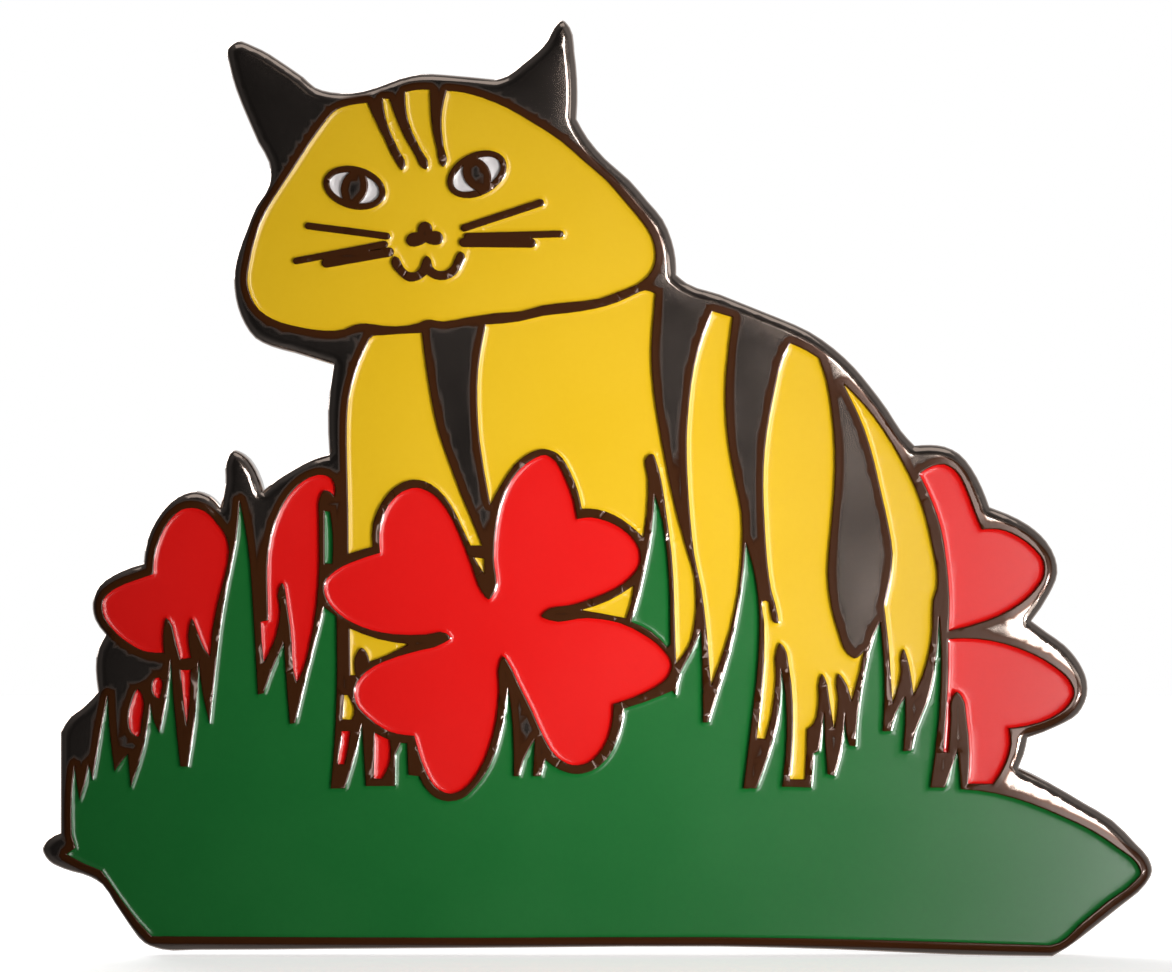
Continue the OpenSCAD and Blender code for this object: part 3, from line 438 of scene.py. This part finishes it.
for v, lost in zip(front_verts, fall):
    v.co.y = face_y + lost
for v, far, inset in zip(front_verts, from_pocket, from_rim):
    v[near_enamel] = max(0, 1 - far / fringe_width) * min(1, inset / bare_edge)
back_edges = outlines(plate, plate_high.y)[0]
bmesh.ops.bevel(
    plate, geom=back_edges, offset=back_round, segments=1, profile=0.5, affect="EDGES",
    clamp_overlap=True, material=-1)
plate_piece = made(plate, "struck_plate", plating, flat_back=True)
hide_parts("plate")
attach(plate_piece, "pin")

# ---- enamel fills ----
# Soft enamel, dosed into each pocket by needle and baked. It sinks a little as it cures and
# clings to the walls, so each fill is dished and climbs the metal lines at its edge.
cling_width = 0.17 * mm
cling_rise = 0.035 * mm
cling_steps = (0.02, 0.045, 0.07, 0.095, 0.125, 0.17)
enamel_tones = {
    "yellow": ((0.90, 0.57, 0.014), (0.83, 0.50, 0.008)),
    "red": ((0.87, 0.007, 0.004), (0.78, 0.004, 0.004)),
    "green": ((0.010, 0.17, 0.028), (0.006, 0.13, 0.022)),
    "white": ((0.82, 0.78, 0.78), (0.74, 0.70, 0.70)),
}
for tone, (light_shade, deep_shade) in enamel_tones.items():
    enamel, shader, wire, place = new_finish(tone + "_enamel", light_shade, 0, 0.2)
    shader.inputs["Coat Roughness"].default_value = 0.08
    shader.inputs["Coat IOR"].default_value = 1.5
    cloud = wire.add("TexNoise", {}, {
        "Vector": place, "Scale": 170, "Detail": 5, "Roughness": 0.6}, "Fac")
    speck = wire.add("TexNoise", {}, {"Vector": place, "Scale": 5200, "Detail": 2}, "Fac")
    blend = wire.add("Mix", {"data_type": "RGBA"}, {
        0: cloud * 0.7 + speck * 0.3, 6: (*deep_shade, 1), 7: (*light_shade, 1)}, 2)
    blend.into(shader, "Base Color")
    (0.16 + cloud * 0.10).into(shader, "Roughness")
    shader.inputs["Coat Weight"].default_value = 0.12
    wire.add("Bump", {}, {"Height": cloud + speck * 0.15, "Distance": 0.02 * mm, "Strength": 0.25}).into(
        shader, "Normal")
    for node in sorted(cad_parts):
        if not node.endswith("_" + tone):
            continue
        fill = copy_of(node)
        level = min(v.co.y for v in fill.verts)
        gridded(fill, level, grid_step)
        outer_edges, inner_edges = outlines(fill, level)
        walls = fence_along(outer_edges + inner_edges)
        faces, edges, verts = faces_at(fill, level)
        skin = faces + edges + verts
        skin = cut_at_distances(fill, skin, walls, [step * mm for step in cling_steps])
        verts = [p for p in skin if isinstance(p, bmesh.types.BMVert)]
        for v, far in zip(verts, distance_to(verts, walls)):
            v.co.y = level - cling_rise * max(0, 1 - far / cling_width) ** 2
        fill_piece = made(fill, node + "_fill", enamel)
        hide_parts(node)
        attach(fill_piece, "pin")

# ---- posts and solder ----
# A steel post with a round foot, a groove near its point, soldered into a seat in the back
# and plated with the plate. The solder runs up the edge of the foot in a hollow fillet.


def spun(profile, centre, steps=96):
    """A closed solid of revolution about a line that points along +Y through centre."""
    shape = bmesh.new()
    ring = [shape.verts.new((centre.x + out, centre.y + up, centre.z)) for out, up in profile]
    for a, b in zip(ring, ring[1:]):
        shape.edges.new((a, b))
    bmesh.ops.spin(
        shape, geom=list(shape.verts) + list(shape.edges), cent=centre, axis=(0, 1, 0),
        dvec=(0, 0, 0), angle=math.tau, steps=steps, use_merge=True, use_duplicate=False)
    bmesh.ops.remove_doubles(shape, verts=shape.verts, dist=merge_gap)
    bmesh.ops.recalc_face_normals(shape, faces=shape.faces)
    return shape


wire_finish, shader, wire, place = new_finish("plated_steel", (0.42, 0.38, 0.36), 1, 0.28)
drawn_marks = wire.add("TexNoise", {}, {"Vector": place, "Scale": 3500, "Detail": 3}, "Fac")
(0.2 + drawn_marks * 0.2).into(shader, "Roughness")
wire.add("Bump", {}, {"Height": drawn_marks, "Distance": 0.01 * mm, "Strength": 0.3}).into(
    shader, "Normal")
solder_finish, shader, wire, place = new_finish("plated_solder", (0.5, 0.47, 0.45), 1, 0.35)
ripple = wire.add("TexNoise", {}, {"Vector": place, "Scale": 1500, "Detail": 4}, "Fac")
(0.25 + ripple * 0.25).into(shader, "Roughness")
wire.add("Bump", {}, {"Height": ripple, "Distance": 0.04 * mm, "Strength": 0.6}).into(
    shader, "Normal")

post_radius = 0.575 * mm
foot_radius = 1.9 * mm
foot_under = -0.4 * mm
foot_over = 0.1 * mm
solder_out = 2.1 * mm
groove_at = 6.3 * mm
groove_half = 0.15 * mm
groove_deep = 0.12 * mm
groove_low = groove_at - groove_half
groove_high = groove_at + groove_half
neck = post_radius - groove_deep
foot_ease = 0.04 * mm
root_round = 0.15 * mm
root_mid = 0.04 * mm
point_long = 1 * mm
shoulder_at = 0.9 * mm
shoulder_in = 0.03 * mm
tip_round = 0.12 * mm
tip_flat = 0.02 * mm
# The hollow face of the solder, in mm: how far out from the foot, and how high.
fillet_curve = ((0.1, 0.02), (0.04, 0.05))
for hand in ("left", "right"):
    post_low, post_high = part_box(hand + "_post")
    centre = Vector(((post_low[0] + post_high[0]) / 2, 0, (post_low[2] + post_high[2]) / 2))
    tip = post_high[1]
    post = spun([
        (0, foot_under), (foot_radius, foot_under), (foot_radius, foot_over - foot_ease),
        (foot_radius - foot_ease, foot_over), (post_radius + root_round, foot_over),
        (post_radius + root_mid, foot_over + root_mid), (post_radius, foot_over + root_round),
        (post_radius, groove_low - groove_deep), (neck, groove_low),
        (neck, groove_high), (post_radius, groove_high + groove_deep),
        (post_radius, tip - point_long), (post_radius - shoulder_in, tip - shoulder_at),
        (tip_round, tip - tip_round), (tip_round / 2, tip - tip_flat), (0, tip)], centre)
    post_piece = made(post, hand + "_soldered_post", wire_finish, 30)
    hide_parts(hand + "_post")
    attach(post_piece, "pin")
    bead = spun([
        (foot_radius, foot_under), (solder_out, foot_under), (solder_out, 0),
        *[(foot_radius + out * mm, up * mm) for out, up in fillet_curve],
        (foot_radius, foot_over - foot_ease), (foot_radius, foot_under)], centre)
    solder_piece = made(bead, hand + "_solder_fillet", solder_finish, 60)
    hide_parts(hand + "_solder")
    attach(solder_piece, "pin")

# ---- clutch dishes ----
# The round base of a butterfly clutch, pressed from thin brass with a turned-up lip, a
# raised ring that stiffens it, and a short collar round the hole for the post.
brass, shader, wire, place = new_finish("clutch_brass", (0.83, 0.62, 0.30), 1, 0.25)
tarnish = wire.add("TexNoise", {}, {
    "Vector": place, "Scale": 420, "Detail": 5, "Roughness": 0.65}, "Fac")
scuff = wire.add("TexNoise", {}, {"Vector": place, "Scale": 6000, "Detail": 3}, "Fac")
wire.add("Mix", {"data_type": "RGBA"}, {
    0: tarnish, 6: (0.66, 0.45, 0.17, 1), 7: (0.90, 0.70, 0.38, 1)}, 2).into(shader, "Base Color")
(0.14 + tarnish * 0.2 + scuff * 0.08).into(shader, "Roughness")
wire.add("Bump", {}, {"Height": tarnish + scuff * 0.2, "Distance": 0.02 * mm, "Strength": 0.3}).into(
    shader, "Normal")

dish_radius = 5.65 * mm
bore = 0.635 * mm
bore_ease = 0.06 * mm
sheet = 0.4 * mm
collar_top = 0.75 * mm
collar_ease = 0.05 * mm
dish_steps = 128
# Points in mm, as how far in from the edge of the dish and how high.
stiff_ring = ((1.9, 0), (1.8, 0.03), (1.65, 0.14), (1.5, 0.17), (1.35, 0.14), (1.2, 0.03), (1.1, 0))
lip_curve = (
    (0.95, 0), (0.6, 0.08), (0.3, 0.26), (0.1, 0.48), (0.02, 0.66), (0, 0.8), (0.02, 0.92),
    (0.1, 0.99), (0.2, 1), (0.3, 0.98), (0.36, 0.9), (0.38, 0.78), (0.44, 0.66), (0.6, 0.5),
    (0.8, 0.42), (1, 0.4))
# Points in mm, as how far out from the middle of the hole and how high over the sheet.
collar_foot = ((1.42, 0), (1.32, 0.03), (1.25, 0.1))
# The same, but how high over the underside of the dish.
collar_shoulder = ((1.17, 0.7), (1.12, 0.745))


def in_from_edge(curve, rise=0):
    """A curve of the dish, lifted by rise."""
    return [(dish_radius - inset * mm, up * mm + rise) for inset, up in curve]


profile = [(bore, bore_ease), (bore + bore_ease, 0)]
profile += in_from_edge(stiff_ring)
profile += in_from_edge(lip_curve)
profile += in_from_edge(reversed(stiff_ring), sheet)
profile += [(out * mm, up * mm + sheet) for out, up in collar_foot]
profile += [(out * mm, up * mm) for out, up in collar_shoulder]
profile += [(1.05 * mm, collar_top), (bore + collar_ease, collar_top)]
profile += [(bore, collar_top - collar_ease), (bore, bore_ease)]
for hand in ("left", "right"):
    dish_low, dish_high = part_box(hand + "_dish")
    centre = Vector(((dish_low[0] + dish_high[0]) / 2, dish_low[1], 0))
    dish = spun(profile, centre, dish_steps)
    dish_piece = made(dish, hand + "_clutch_dish", brass, 50)
    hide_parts(hand + "_dish")
    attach(dish_piece, hand + "_clutch")

# ---- clutch caps ----
# A brass bridge folded over the jaws and tacked to the dish, with a hole in each wall for
# the ends of the two hinge pins. Its cut edges are slightly rounded by the barrel finish.
cap_ease = 0.07 * mm
least_corner = 0.4 * mm


def eased(node, ease, least):
    """A merged copy of a CAD solid with its long sharp corners rounded."""
    shape = copy_of(node)
    bmesh.ops.dissolve_limit(
        shape, angle_limit=math.radians(1), verts=shape.verts, edges=shape.edges)
    corners = [e for e in shape.edges
               if e.calc_face_angle(0) > math.radians(30) and e.calc_length() > least]
    bmesh.ops.bevel(
        shape, geom=corners, offset=ease, segments=3, profile=0.5, affect="EDGES",
        clamp_overlap=True, material=-1)
    bmesh.ops.triangulate(shape, faces=[f for f in shape.faces if len(f.verts) > 4])
    return shape


for hand in ("left", "right"):
    cap_piece = made(eased(hand + "_cap", cap_ease, least_corner), hand + "_clutch_cap", brass, 30)
    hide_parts(hand + "_cap")
    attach(cap_piece, hand + "_clutch")

# ---- clutch wings ----
# Two sprung brass levers that pinch the groove of the post. Squeezing the finger tabs
# together turns each one on its hinge pin and opens the jaws.
for hand in ("left", "right"):
    for where in ("outer", "inner"):
        wing = eased(f"{hand}_wing_{where}", cap_ease, least_corner)
        wing_piece = made(wing, f"{hand}_{where}_finger_wing", brass, 30)
        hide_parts(f"{hand}_wing_{where}")
        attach(wing_piece, f"{hand}_{where}_wing")
